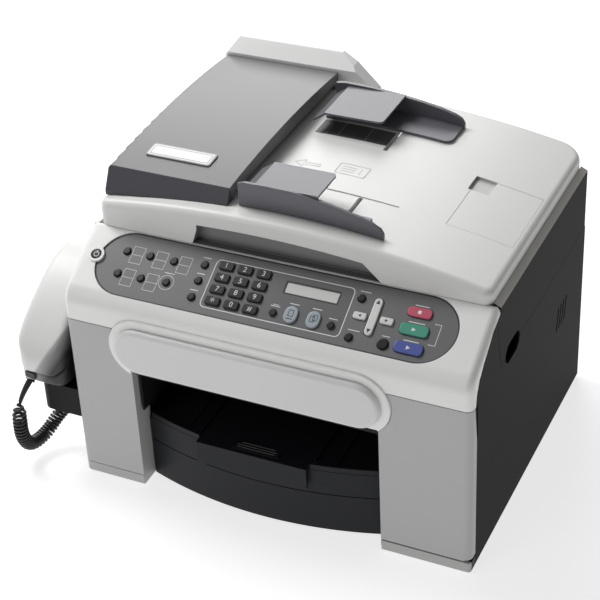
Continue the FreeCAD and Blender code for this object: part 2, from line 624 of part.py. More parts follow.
def make_output_tray():
    """Lid of the cassette, where printed pages land; it lifts to reach the paper."""
    plate = tray_outline("catch_plate", 0, D["tray_height"] + 0.5, D["tray_height"] + 3, -90)
    rim = cut("catch_rim", tray_outline("catch_rim_outer", 0, D["tray_height"] + 2.5,
            D["tray_height"] + 6, -90),
              tray_outline("catch_rim_inner", -3, D["tray_height"] + 2, D["tray_height"] + 8, -80))
    ribs = [box("catch_rib_%d" % i, (110 + 38 * i, 14, D["tray_height"] + 2.5),
            (3, 180, 2)) for i in range(5)]
    channel = box("catch_channel", (128.4, -5, D["tray_height"] + 0.2), (113.2, 118, 12))
    floor = box("catch_channel_floor", (125.4, 12, D["tray_height"] + 0.5), (119.2, 104, 0.9))
    side = [box("catch_side_%d" % i, (x, 12, D["tray_height"] + 0.5),
            (2.6, 104, 5.4)) for i, x in enumerate((125.4, 242))]
    whole = join("catch", cut("catch_cut", join("catch_joined", plate, rim, *ribs), channel), floor, *side)
    span = box("catch_span", ("frame_left + 2.6", -30, 60), ("frame_right - frame_left - 5.2", 400, 60))
    node("output_tray", common("catch_trimmed", whole, span))


def make_paper_support():
    """Flap that slides out of the catch tray to hold long pages."""
    low = D["tray_height"] + 1.9
    plate = box("support_plate", (129, -3, low), (112, 112, 2))
    front = box("support_front", (129, -3, 52), (112, 2.6, low + 2 - 52))
    tab = box("support_tab", (164, 2, low + 1.9), (47, 12, 1.3))
    soft = rounded("support_soft", join("support_joined", plate, front, tab), 2,
                   lambda e: along(e, "y") and near(e.BoundBox.ZMin, 52))
    node("paper_support", soft)


# ---------------------------------------------------------------- scanner unit

def make_scanner_case():
    """Dark upper case with a floor, four walls and a window for the glass."""
    floor_z = D["seam_height"] + 0.4
    outer = box("scanner_outer", (0, 72.9, floor_z),
            ("body_width", "body_depth - 74.9", "side_top - seam_height - 0.4"))
    inner = box("scanner_inner", ("wall", 75.4, floor_z + 2.5),
            ("body_width - 2 * wall", "body_depth - 79.9", "side_top - seam_height - 5.4"))
    window = box("scanner_window", (54, 88, "side_top - 10"), (292, 212, 20))
    cheeks = [profile("scanner_cheek_%d" % i, "YZ", start, "wall",
                      [(73.2, floor_z), (67.1, 206.2), (61.7, 236.9), (71, 240.8), (80, 243.4),
                              (80, floor_z)])
              for i, start in enumerate((0, "body_width - wall"))]
    fingers = [stadium_side("scanner_finger_%d" % i,
            start) for i, start in enumerate((0, "body_width - wall"))]
    wells = [box("finger_well_%d" % i, (x, 84, 172),
            (22, 40, 21)) for i, x in enumerate((2.5, "body_width - 24.5"))]
    cups = [cut("finger_cup_%d" % i, box("finger_cup_outer_%d" % i, (x, 82, floor_z), (24, 44, 22)),
            wells[i])
            for i, x in enumerate((2.4, "body_width - 26.4"))]
    shell = cut("scanner_shell", outer, inner, window)
    full = cut("scanner_full", join("scanner_joined", shell, *cheeks, *cups), *fingers, *[
        box("finger_floor_%d" % i, (x, 85, floor_z - 1),
                (20, 38, 5)) for i, x in enumerate((-1, "body_width - 19"))])
    rims = [profile("scanner_rim_%d" % i, "XZ", 68.4, 251.6, points) for i, points in enumerate((
        [(0, 242), (0, 245), ("lid_left - gap", 248.4), ("lid_left - gap", 242)],
        [("lid_right + gap", 242), ("lid_right + gap", 248.4), ("body_width", 245), ("body_width", 242)]))]
    shelf = box("scanner_shelf", (3, 69.2, 241.5), ("body_width - 6", 6, 5))
    rail = rod("scan_rail", "x", (2, 200, 214), 4, "body_width - 4")
    node("scanner_case", join("scanner", full, rail, shelf, *rims))


def make_scanner_glass():
    """Platen glass under the window, and the moving scan bar below it."""
    glass = box("glass", (50, 84, "side_top - 5.1"), (300, 220, 2.5))
    node("scanner_glass", glass)
    bar = box("scan_bar_block", (60, 86, 220), (22, 216, 14))
    carrier = box("scan_bar_carrier", (58, 186, 206), (26, 28, 14.5))
    strip = box("scan_bar_strip", (68, 90, 233), (6, 208, 3))
    bore = rod("scan_bar_bore", "x", (40, 200, 214), 4 + D["axle_play"], 60)
    node("scan_bar", cut("scan_bar_cut", join("scan_bar_joined", bar, carrier), bore, strip))


# ---------------------------------------------------------------- document cover

GUIDE_SLOTS = ((238, 94, 48), (225, 228, 74))
FLAP = (322, 384, 140, 227)


def crown(name, drop, start, depth):
    """A long cylinder whose top is the lid's crowned surface, lowered by drop."""
    return rod(name, "y", ("crown_middle", start, "crown_height - crown_radius"),
            "crown_radius - (%s)" % drop, depth)


def make_document_cover():
    """White lid: crowned top, handle recess, rear hump, feeder bay and pocket for the flap."""
    block = box("lid_block", ("lid_left", "panel_top_y", "lid_low"),
                ("lid_right - lid_left", "lid_rear - panel_top_y", 60))
    domed = common("lid_domed", block, crown("lid_crown", 0, 0, 400))
    left = D["lid_left"]
    right = D["lid_right"]
    cornered = rounded("lid_corners", domed, D["lid_corner_radius"], lambda e: along(e, "z")
                       and near(e.BoundBox.XMax, right) and near(e.BoundBox.YMax, D["lid_rear"]))
    front_corners = rounded("lid_front_corners", cornered, 9, lambda e: along(e, "z")
                            and near(e.BoundBox.YMin, D["panel_top_y"]))
    shoulders = rounded("lid_shoulders", front_corners, D["shoulder_radius"],
                        lambda e: along(e, "y") and e.BoundBox.ZMin > D["lid_low"] + 2
                        and (near(e.BoundBox.XMin, left) or near(e.BoundBox.XMin, right)))
    hump_block = profile("lid_hump", "XZ", "feeder_rear + 1", 18,
                         [(7.5, 255), (7.5, 299), (19, 315.5), (134, 315.5), (149, 306), (173, 282),
                                 (173, 255)])
    slope = profile("lid_hump_slope", "YZ", 0, 200, [(330, 298.5), (346, 315.5), (346, 330), (330, 330)])
    hump = cut("lid_hump_sloped", hump_block, slope)
    hump_soft = rounded("lid_hump_soft", hump, 2.5,
            lambda e: e.BoundBox.ZMin > 256 and e.BoundBox.YMin > 345)
    skirt = box("lid_hump_trim", (0, "lid_rear", 240), (200, 40, 15.1))
    body = cut("lid_body", join("lid_with_hump", shoulders, hump_soft), skirt)
    inner_block = rounded("lid_inner_block_soft", box("lid_inner_block", ("lid_left + lid_wall", 80, 230),
                          ("lid_right - lid_left - 2 * lid_wall", "lid_rear - 83.5", 90)), 22,
                          lambda e: along(e, "z") and near(e.BoundBox.XMin, D["lid_right"] - D["lid_wall"])
                          and e.BoundBox.YMin > 200)
    inner = common("lid_inner", inner_block, crown("lid_inner_crown", "lid_wall + 2", 0, 400))
    ribs = [box("lid_rib_%d" % i, ("lid_left + 1", y, 249),
            ("lid_right - lid_left - 2", 2, 16)) for i, y in enumerate((140, 200, 260))]
    grip_block = profile("lid_grip_block", "XZ", 0, "panel_top_y + grip_depth",
                         [("grip_left - 1", 240), ("grip_left", "lid_low"), ("grip_left + 5", 262),
                          ("grip_left + 7", 290), ("grip_right - 22", 290), ("grip_right - 18", 264),
                          ("grip_right", "lid_low"), ("grip_right + 1", 240)])
    grip_soft = common("lid_grip", grip_block, crown("grip_top", "crown_height - grip_top", -20, 200))
    slots = [box("lid_slot_%d" % i, (x, y, 270), (4, length, 20)) for i, (x, y,
            length) in enumerate(GUIDE_SLOTS)]
    x0, x1, y0, y1 = FLAP
    pocket = common("lid_flap_pocket", box("flap_pocket_block", (x0 - 0.3, y0 - 0.3, 250),
            (x1 - x0 + 0.6, y1 - y0 + 0.6, 60)),
                    cut("flap_pocket_shell", crown("flap_pocket_top", -3, 0, 400),
                            crown("flap_pocket_floor", 2.3, 0, 400)))
    notch = common("lid_notch", box("lid_notch_block", (x0 - 3, 204, 250), (20, 24, 60)),
                   cut("lid_notch_shell", crown("lid_notch_top", -3, 0, 400),
                           crown("lid_notch_floor", 2.6, 0, 400)))
    groove = common("lid_groove", box("lid_groove_block", (200, 141, 250), (76, 2.4, 60)),
                    cut("lid_groove_shell", crown("lid_groove_top", -3, 0, 400),
                            crown("lid_groove_floor", 0.9, 0, 400)))
    bay = box("lid_feeder_bay", ("feeder_left + 16", 108, 260.5),
            ("feeder_right - feeder_left - 30", 210, 40))
    bay_shell = box("lid_feeder_bay_wall", ("feeder_left + 13.5", 105.5, 258),
            ("feeder_right - feeder_left - 25", 215, 19))
    hollow = cut("lid_hollow", inner, bay_shell, *ribs)
    bores = [rod("lid_feeder_bore", "y", (FEED_ROLLER[0], 100, FEED_ROLLER[1]), "axle_radius + axle_play",
            230)]
    node("document_cover", cut("lid", body, hollow, grip_soft, *slots, pocket, notch, groove, bay, *bores))
    x, z = FEED_ROLLER
    axle = rod("adf_axle", "y", (x, 106.5, z), "axle_radius", 213)
    tyres = [rod("adf_tyre_%d" % i, "y", (x, y, z), 8, 40) for i, y in enumerate((150, 236))]
    node("adf_roller", join("adf_roller_joined", axle, *tyres))


FEED_ROLLER = (78, 270.5)


def make_white_pad():
    """White backing sheet that presses the page on the glass."""
    pad = box("pad", (48, 84, 245.5), (304, 224, 3.2))
    node("white_pad", rounded("pad_soft", pad, 4, lambda e: along(e, "z")))


def feeder_arch(name, drop):
    """A long cylinder whose top is the feeder cover's arched surface, lowered by drop."""
    return rod(name, "x", (0, "feeder_middle", "feeder_top + 4 - feeder_arch"),
            "feeder_arch - (%s)" % drop, 400)


def make_adf_cover():
    """Feeder cover: a shell with a leaning front, gently arched from front to rear."""
    blank = profile("adf_outer", "YZ", "feeder_left", "feeder_right - feeder_left",
                    [("feeder_front", 262), ("feeder_front", 277), ("feeder_front + 7", 290),
                     ("feeder_front + 15.5", 306), ("feeder_rear", 306), ("feeder_rear", 262)])
    arched = common("adf_arched", blank, feeder_arch("adf_arch_top", 0))
    soft = rounded("adf_soft", arched, 3, lambda e: e.BoundBox.YMax - e.BoundBox.YMin > 150
                   and e.BoundBox.ZMin > 285 and near(e.BoundBox.XMax, D["feeder_left"]))
    core = profile("adf_core", "YZ", "feeder_left + wall", "feeder_right - feeder_left - 2 * wall",
                   [("feeder_front + wall", 255), ("feeder_front + wall", 276), ("feeder_front + 9", 288),
                    ("feeder_front + 18", 304), ("feeder_rear - wall", 304), ("feeder_rear - wall", 255)])
    inside = common("adf_inner", core, feeder_arch("adf_arch_inner", "wall + 0.5"))
    slot = box("adf_slot", ("feeder_right - 10", "feeder_front + 19", 250),
            (20, "feeder_rear - feeder_front - 27", 39.5))
    seat = crown("adf_seat", -0.4, 0, 400)
    left_trim = box("adf_left_trim", ("feeder_left - 1", 0, 240), (14, 400, 30))
    node("adf_cover", cut("adf", soft, inside, slot, seat, left_trim))


def make_guides():
    """Front and rear document guides: an arched fin, a flange over the page, a foot and a slide pin."""
    outline = [(144, 274), (144, 306.5), (150, 308.5), (172, 309), (196, 308.5), (212, 306.8), (230, 303.5),
               (248, 299.3), (262, 295.5), (274, 291.5), (281, 288), (284, 283), (284, 274)]
    seat = crown("guide_seat", -0.5, 0, 400)
    fin = profile("front_fin", "XZ", 86.5, 3, outline)
    flange = box("front_flange", (160, 88, 306), (62, 43, 2))
    slope = profile("front_slope", "XZ", 88, 43, [(147, 297), (161, 306), (161, 308), (147, 299)])
    foot = common("front_foot", box("front_foot_block", (150, 88, 250), (114, 22, 60)),
                  crown("front_foot_top", -2.9, 0, 400))
    pin = rod("front_pin", "z", (240, 101, 268), 1.6, 16)
    flange_soft = rounded("front_flange_soft", flange, 5,
                          lambda e: along(e, "z") and near(e.BoundBox.XMin, 222) and near(e.BoundBox.YMin,
                                  131))
    body = cut("front_guide_cut", join("front_guide_body", fin, flange_soft, slope, foot), seat)
    node("front_guide", join("front_guide_joined", body, pin))

    rear_outline = [(146, 274), (146, 305), (156, 306.5), (185, 305.5), (213, 302.5), (235, 299.5),
                    (256, 295.5), (270, 291.5), (277, 288), (280, 283), (280, 274)]
    rear_seat = crown("rear_guide_seat", -0.5, 0, 400)
    rear_fin = profile("rear_fin", "XZ", 300, 4, rear_outline)
    rear_flange = box("rear_flange", (160, 240, 302), (60, 61, 2))
    rear_slope = profile("rear_slope", "XZ", 240, 61, [(148, 293), (161, 302), (161, 304), (148, 295)])
    rear_block = rounded("rear_foot_block_soft", box("rear_foot_block", (150, 266, 250), (129, 35, 60)), 9,
                         lambda e: along(e, "z") and near(e.BoundBox.XMin, 279) and near(e.BoundBox.YMin,
                                 266))
    rear_foot = common("rear_foot", rear_block, crown("rear_foot_top", -2.9, 0, 400))
    rear_pin = rod("rear_pin", "z", (227, 290, 268), 1.6, 16)
    rear_flange_soft = rounded("rear_flange_soft", rear_flange, 5,
                               lambda e: along(e, "z") and near(e.BoundBox.XMin,
                                       220) and near(e.BoundBox.YMin, 240))
    rear_body = cut("rear_guide_cut", join("rear_guide_body", rear_fin, rear_flange_soft, rear_slope,
            rear_foot), rear_seat)
    node("rear_guide", join("rear_guide_joined", rear_body, rear_pin))


def make_output_flap():
    """Thin leaf flush in the lid that folds out over the right side to hold long originals."""
    x0, x1, y0, y1 = FLAP
    leaf = common("flap_leaf", box("flap_block", (x0, y0, 250), (x1 - x0, y1 - y0, 60)),
                  cut("flap_shell", crown("flap_top", 0.1, 0, 400), crown("flap_bottom", 1.9, 0, 400)))
    bite = box("flap_bite", (x0 - 5, 203.6, 250), (22.4, 40, 60))
    node("output_flap", cut("flap", leaf, bite))


# ---------------------------------------------------------------- handset

HANDSET_NOSE = 6.4       # how far the front end of the handset stands forward of the casing
SHELL_TOP = ((-5, 110), (-6, 119), (-4, 131), (2.5, 143), (12.5, 153), (26, 163), (44, 174), (64, 184),
             (84, 190.5), (102, 192.5), (120, 190.5), (140, 184), (160, 174), (178, 162.5), (190, 153),
             (199, 142), (203.5, 128), (204, 112))
SHELL_SPLIT = ((204, 112), (156, 140), (136, 170), (68, 170), (48, 140), (-5, 110))
GRIP_SPLIT = ((-4.4, 109.7), (48.3, 139.5), (68.4, 169.5), (135.6, 169.5), (155.7, 139.5), (203.4, 111.7))
GRIP_LOW = ((203, 101), (197, 96.5), (162, 96.5), (153, 104), (147, 146), (134, 157), (70, 157), (57, 146),
            (51, 104), (42, 96.5), (2, 96.5), (-4, 101))


def make_handset():
    """White back shell and dark inner half of the handset, lying face down in its cradle."""
    plan = [rounded("handset_plan_soft_%d" % i,
            box("handset_plan_%d" % i, (D["handset_outer"] + inset, inset - HANDSET_NOSE, 80),
                (52 - 2 * inset, 204 + HANDSET_NOSE - 2 * inset, 130)), 19 - inset,
                    lambda e: along(e, "z")) for i, inset in enumerate((0, 0.8))]
    back = Part.BSplineCurve()
    back.interpolate([Vector(D["handset_outer"], y, z) for y, z in SHELL_TOP])
    split = Part.makePolygon([Vector(D["handset_outer"], y, z) for y, z in SHELL_SPLIT])
    outline = Part.Face(Part.Wire([back.toShape()] + split.Edges))
    shell = feature("handset_back", outline.extrude(Vector(D["handset_inner"] - D["handset_outer"], 0, 0)))
    upper = rounded("handset_back_soft", shell, 8, lambda e: e.Length > 200)
    hollow = profile("handset_hollow", "YZ", "handset_outer + 10", "handset_inner - handset_outer - 20",
                     [(68, 160), (58, 160), (60, 173), (84, 184), (120, 184), (144, 173), (146, 160)])
    node("handset_shell", cut("handset_shell_cut", common("handset_shell_ends", upper, plan[0]), hollow))
    grip = profile("handset_inner_half", "YZ", "handset_outer + 1", "handset_inner - handset_outer - 2",
                   list(GRIP_SPLIT) + list(GRIP_LOW))
    jack = box("handset_jack", (-59.6, 9, 90), (10.4, 8.4, 16))
    node("handset_grip", cut("handset_grip_cut", common("handset_grip_ends", grip, plan[1]), jack))


def make_cradle():
    """Black cradle on the left side: a back wall, a shelf and a socket for the hook switch."""
    wall_piece = box("cradle_wall", (-8, 22, 70), (7.6, 160, 100))
    wall_soft = rounded("cradle_wall_soft", wall_piece, 8,
            lambda e: along(e, "x") and e.BoundBox.ZMin > 100)
    shelf = box("cradle_shelf", (-54, 22, 70), (48, 160, 22))
    lip = [box("cradle_lip_%d" % i, (-54, y, 90), (48, 16, 6)) for i, y in enumerate((26, 160))]
    shelf_soft = rounded("cradle_shelf_soft", join("cradle_shelf_joined", shelf, *lip), 6,
                         lambda e: along(e, "z") and near(e.BoundBox.XMin, -54) and e.Length > 20)
    nose = rounded("cradle_nose_soft", box("cradle_nose", (-46, 8, 60), (45.2, 18, 32)), 10,
                   lambda e: along(e, "z") and near(e.BoundBox.YMax, 8) and near(e.BoundBox.XMin, -46))
    pocket = box("cradle_pocket", (-48, 48, 76), (38, 108, 40))
    well = box("cradle_switch_well", (-36.3, 163.7, 74), (12.6, 8.6, 40))
    node("handset_cradle", cut("cradle", join("cradle_joined", wall_soft, shelf_soft, nose), pocket, well))
    stem = box("hook_stem", (-36, 164, 80), (12, 8, 16.1))
    node("hook_switch", rounded("hook_soft", stem, 1.5,
            lambda e: along(e, "x") and near(e.BoundBox.ZMin, 96.1)))


# ---------------------------------------------------------------- handset cord

# Centre line of the curled cord, from the handset plug down and back up to the jack on the left side.
CORD_ROUTE = (
    (-55.5, 6, 90.5), (-60.4, -9.5, 77), (-59.9, -14.1, 56.2), (-60.1, -14.2, 34.4), (-59.9, -3.9, 16.5),
    (-54.5, 16.6, 17.5), (-47.6, 33.3, 32.9), (-34.1, 46.4, 47.9), (-13.5, 57, 57),
)


def cord_tube(points, diameter):
    """Straight runs joined by tangent arcs, swept with a round section."""
    points = [Vector(*p) for p in points]
    edges = []
    start = points[0]
    length = 0.0
    radii = []
    for before, corner, after in zip(points, points[1:], points[2:]):
        incoming = corner - before
        outgoing = after - corner
        turn = incoming.getAngle(outgoing)
        shorter = min(incoming.Length, outgoing.Length)
        radius = 0.45 * shorter / math.tan(turn / 2)
        radii.append(radius)
        trim = 0.45 * shorter
        unit_in = incoming.normalize()
        unit_out = outgoing.normalize()
        arc_start = corner - unit_in * trim
        arc_end = corner + unit_out * trim
        bisector = (unit_out - unit_in).normalize()
        centre = corner + bisector * (radius / math.cos(turn / 2))
        arc_middle = centre - bisector * radius
        edges.append(Part.LineSegment(start, arc_start).toShape())
        edges.append(Part.Arc(arc_start, arc_middle, arc_end).toShape())
        length += (arc_start - start).Length + radius * turn
        start = arc_end
    edges.append(Part.LineSegment(start, points[-1]).toShape())
    length += (points[-1] - start).Length
    path = Part.Wire(edges)
    section = Part.Wire([Part.makeCircle(diameter / 2, points[0], points[1] - points[0])])
    tube = path.makePipeShell([section], True, False)
    print("cord radii", [round(r, 1) for r in radii], "length", round(length, 1),
          "volume ratio", round(tube.Volume / (math.pi * diameter ** 2 / 4 * length), 4))
    return tube


def make_cord():
    node("handset_cord", feature("cord_tube", cord_tube(CORD_ROUTE, D["cord_diameter"])))
    first, second = (Vector(*p) for p in CORD_ROUTE[:2])
    up = (first - second).normalize()
    collar = feature("plug_collar", Part.makeCone(5.2, 3.4, 4, first, up))
    handset_plug = box("handset_plug", (-59, 9.6, 92), (9.2, 7.2, 11))
    link = feature("handset_plug_link", Part.makeCylinder(2.2, 9, first + up * 3, up))
    last, previous = (Vector(*p) for p in (CORD_ROUTE[-1], CORD_ROUTE[-2]))
    ahead = (last - previous).normalize()
    base_collar = feature("base_collar", Part.makeCone(5.2, 3.2, 8, last, ahead))
    base_plug = box("base_plug", (-8.2, 56.2, 53.8), (10, 8.5, 7.6))
    node("cord_plugs", join("handset_plug_joined", collar, handset_plug, link),
         join("base_plug_joined", base_collar, base_plug))


def make_all():
    make_base_pan()
    make_feet()
    make_side_covers()
    make_rear_cover()
    make_front_covers()
    make_inner_frame()
    make_rollers()
    make_print_carriage()
    make_ink_cartridges()
    make_main_board()
    make_screws()
    make_paper_tray()
    make_output_tray()
    make_paper_support()
    make_control_housing()
    make_front_bar()
    make_panel()
    make_scanner_case()
    make_scanner_glass()
    make_document_cover()
    make_white_pad()
    make_adf_cover()
    make_guides()
    make_output_flap()
    make_cradle()
    make_handset()
    make_cord()


def check_and_export():
    doc.recompute()
    for obj in doc.Objects:
        if "Invalid" in obj.State or "Error" in obj.State:
            raise RuntimeError("%s is %s" % (obj.Name, obj.State))
    os.makedirs("parts", exist_ok=True)
    for obj in nodes:
        shape = obj.Shape
        if shape.isNull() or not shape.isValid() or not shape.Solids:
            raise RuntimeError("bad shape: " + obj.Label)
    for obj in nodes:
        obj.Shape.exportStep("parts/%s.step" % obj.Label)
    print(len(nodes), "nodes")


make_all()
check_and_export()
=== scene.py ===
import json
import math

import bmesh
import bpy
from mathutils import Matrix, Vector

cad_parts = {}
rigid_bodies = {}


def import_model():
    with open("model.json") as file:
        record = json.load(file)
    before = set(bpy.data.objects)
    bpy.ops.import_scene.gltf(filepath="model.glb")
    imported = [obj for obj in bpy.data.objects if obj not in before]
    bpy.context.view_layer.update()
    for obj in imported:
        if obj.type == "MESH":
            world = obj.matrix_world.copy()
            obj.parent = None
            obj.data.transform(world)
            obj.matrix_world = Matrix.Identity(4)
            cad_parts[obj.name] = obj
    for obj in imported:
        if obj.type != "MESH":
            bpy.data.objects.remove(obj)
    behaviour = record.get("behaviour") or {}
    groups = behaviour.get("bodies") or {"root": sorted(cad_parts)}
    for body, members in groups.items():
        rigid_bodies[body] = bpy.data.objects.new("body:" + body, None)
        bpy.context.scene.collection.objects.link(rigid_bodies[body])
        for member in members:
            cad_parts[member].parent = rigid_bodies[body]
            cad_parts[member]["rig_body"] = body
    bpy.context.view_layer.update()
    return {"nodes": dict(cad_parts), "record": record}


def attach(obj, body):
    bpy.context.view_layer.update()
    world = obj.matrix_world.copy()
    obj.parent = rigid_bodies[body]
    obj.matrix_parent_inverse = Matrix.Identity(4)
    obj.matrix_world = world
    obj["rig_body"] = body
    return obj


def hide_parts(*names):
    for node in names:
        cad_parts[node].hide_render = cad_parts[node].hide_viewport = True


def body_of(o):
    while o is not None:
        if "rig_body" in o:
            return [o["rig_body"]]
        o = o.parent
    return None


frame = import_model()
NODES = frame["nodes"]

# ---------------------------------------------------------------- casing coordinates

MM = 0.001
ORIGIN_X, ORIGIN_Y = 168.0, 171.5      # casing corner to the row frame's origin, in mm
PANEL_TOP_Y, LID_LOW, PANEL_LOW = 66.0, 247.0, 210.0
SLOPE = math.atan2(LID_LOW - PANEL_LOW, PANEL_TOP_Y)
CROWN_MIDDLE, CROWN_HEIGHT, CROWN_RADIUS = 168.0, 283.6, 1040.0


def at(x, y, z):
    """A point in casing millimetres, as a vector in the row frame."""
    return Vector(((x - ORIGIN_X) * MM, (y - ORIGIN_Y) * MM, z * MM))


def crown_z(x, lift=0.0):
    """Height of the lid's crowned top at x."""
    return CROWN_HEIGHT - CROWN_RADIUS + math.sqrt((CROWN_RADIUS + lift) ** 2 - (x - CROWN_MIDDLE) ** 2)


# ---------------------------------------------------------------- camera

AZIMUTH, ELEVATION, ROLL = math.radians(26.39), math.radians(33.03), math.radians(-3.04)
AIM = (199, 180, 110)
DISTANCE, OFFSET_X, OFFSET_Y = 1689.4, 41.92, -47.31
SENSOR, LENS = 36.0, 103.365     # in mm
SHIFT_Y = -0.0441                # as a share of the picture's width

back = Vector((math.sin(AZIMUTH) * math.cos(ELEVATION), -math.cos(AZIMUTH) * math.cos(ELEVATION),
               math.sin(ELEVATION)))
right = Vector((math.cos(AZIMUTH), math.sin(AZIMUTH), 0))
up = back.cross(right)
cam_right = right * math.cos(ROLL) + up * math.sin(ROLL)
cam_up = up * math.cos(ROLL) - right * math.sin(ROLL)
camera = bpy.data.objects.new("camera", bpy.data.cameras.new("camera"))
bpy.context.scene.collection.objects.link(camera)
turn = Matrix((cam_right, cam_up, back)).transposed().to_4x4()
spot = at(*AIM) + (back * DISTANCE - cam_right * OFFSET_X - cam_up * OFFSET_Y) * MM
camera.matrix_world = Matrix.Translation(spot) @ turn
camera.data.sensor_width = SENSOR
camera.data.lens = LENS
camera.data.shift_y = SHIFT_Y
camera.data.clip_end = 20
bpy.context.scene.camera = camera


# ---------------------------------------------------------------- materials

def new_material(name):
    material = bpy.data.materials.new(name)
    material.use_nodes = True
    tree = material.node_tree
    shader = tree.nodes["Principled BSDF"]
    return material, tree, shader


def link(tree, source, output, target, socket):
    tree.links.new(source.outputs[output], target.inputs[socket])


def noise(tree, coords, scale, detail=2.0, rough=0.5):
    node = tree.nodes.new("ShaderNodeTexNoise")
    node.inputs["Scale"].default_value = scale
    node.inputs["Detail"].default_value = detail
    node.inputs["Roughness"].default_value = rough
    link(tree, coords, "Object", node, "Vector")
    return node


def ramp(tree, source, output, low, high):
    node = tree.nodes.new("ShaderNodeMapRange")
    node.inputs["To Min"].default_value = low
    node.inputs["To Max"].default_value = high
    link(tree, source, output, node, "Value")
    return node


def row_place(tree, coords, node):
    """The place of each point of a CAD node in the row frame, at rest."""
    to_row = tree.nodes.new("ShaderNodeMapping")
    matrix = NODES[node].matrix_world
    to_row.inputs["Location"].default_value = matrix.translation
    to_row.inputs["Rotation"].default_value = matrix.to_euler()
    to_row.inputs["Scale"].default_value = matrix.to_scale()
    link(tree, coords, "Object", to_row, "Vector")
    return to_row


def past_plane(tree, coords, node, point, normal, reach):
    """0 behind a plane through a point in casing millimetres, rising to 1 at reach millimetres past it."""
    along = tree.nodes.new("ShaderNodeVectorMath")
    along.operation = "DOT_PRODUCT"
    tree.links.new(row_place(tree, coords, node).outputs[0], along.inputs[0])
    along.inputs[1].default_value = normal
    start = at(*point).dot(Vector(normal))
    rise = ramp(tree, along, "Value", 0, 1)
    rise.inputs["From Min"].default_value = start
    rise.inputs["From Max"].default_value = start + reach * MM
    return rise


def inside_box(tree, coords, node, low, high):
    """1 on the part of a CAD node within a box in casing millimetres at rest, else 0."""
    to_row = row_place(tree, coords, node)
    split = tree.nodes.new("ShaderNodeSeparateXYZ")
    tree.links.new(to_row.outputs[0], split.inputs[0])
    product = None
    for axis, limits in enumerate(zip(at(*low), at(*high))):
        for limit, operation in zip(limits, ("GREATER_THAN", "LESS_THAN")):
            test = tree.nodes.new("ShaderNodeMath")
            test.operation = operation
            tree.links.new(split.outputs[axis], test.inputs[0])
            test.inputs[1].default_value = limit
            if product:
                both = tree.nodes.new("ShaderNodeMath")
                both.operation = "MULTIPLY"
                tree.links.new(product.outputs[0], both.inputs[0])
                tree.links.new(test.outputs[0], both.inputs[1])
                test = both
            product = test
    return product


def plastic(name, colour, roughness=0.45, grain=1400, bump=0.12, edge=0.0006, mottle=0.03,
            coat=0.0, specular=0.5, spread=0.05, node=None, zones=(), fades=()):
    """Moulded plastic with a fine grain and softened edges. Each zone (colour, low corner, high corner)
    gives its colour to the part of a CAD node inside that box, in casing millimetres. Each fade (colour,
    point, normal, reach) gives its colour to the part past a plane."""
    material, tree, shader = new_material(name)
    coords = tree.nodes.new("ShaderNodeTexCoord")
    fine = noise(tree, coords, grain, 3.0, 0.6)
    broad = noise(tree, coords, 9, 3.0)
    mix = tree.nodes.new("ShaderNodeMix")
    mix.data_type = "RGBA"
    mix.inputs["A"].default_value = [max(0, c * (1 - mottle)) for c in colour] + [1]
    mix.inputs["B"].default_value = [min(1, c * (1 + mottle)) for c in colour] + [1]
    link(tree, broad, "Fac", mix, "Factor")
    masks = [(tint, inside_box(tree, coords, node, low, high)) for tint, low, high in zones]
    masks += [(fade[0], past_plane(tree, coords, node, *fade[1:])) for fade in fades]
    for tint, mask in masks:
        pick = tree.nodes.new("ShaderNodeMix")
        pick.data_type = "RGBA"
        pick.inputs["B"].default_value = list(tint) + [1]
        tree.links.new(mask.outputs[0], pick.inputs["Factor"])
        tree.links.new(mix.outputs["Result"], pick.inputs["A"])
        mix = pick
    tree.links.new(mix.outputs["Result"], shader.inputs["Base Color"])
    rough = ramp(tree, fine, "Fac", roughness - spread, roughness + spread)
    link(tree, rough, "Result", shader, "Roughness")
    bevel = tree.nodes.new("ShaderNodeBevel")
    bevel.samples = 4
    bevel.inputs["Radius"].default_value = edge
    dent = tree.nodes.new("ShaderNodeBump")
    dent.inputs["Strength"].default_value = bump
    dent.inputs["Distance"].default_value = 0.0002
    link(tree, fine, "Fac", dent, "Height")
    link(tree, bevel, "Normal", dent, "Normal")
    link(tree, dent, "Normal", shader, "Normal")
    shader.inputs["Specular IOR Level"].default_value = specular
    shader.inputs["Coat Weight"].default_value = coat
    shader.inputs["Coat Roughness"].default_value = 0.12
    return material


def metal(name, colour, roughness=0.3):
    material, tree, shader = new_material(name)
    coords = tree.nodes.new("ShaderNodeTexCoord")
    fine = noise(tree, coords, 2500, 2.0)
    rough = ramp(tree, fine, "Fac", roughness - 0.06, roughness + 0.1)
    link(tree, rough, "Result", shader, "Roughness")
    shader.inputs["Base Color"].default_value = list(colour) + [1]
    shader.inputs["Metallic"].default_value = 1.0
    return material


def clear(name, colour, alpha=0.3, roughness=0.05):
    material, tree, shader = new_material(name)
    coords = tree.nodes.new("ShaderNodeTexCoord")
    fine = noise(tree, coords, 60, 2.0)
    rough = ramp(tree, fine, "Fac", roughness, roughness + 0.05)
    link(tree, rough, "Result", shader, "Roughness")
    shader.inputs["Base Color"].default_value = list(colour) + [1]
    shader.inputs["Alpha"].default_value = alpha
    return material


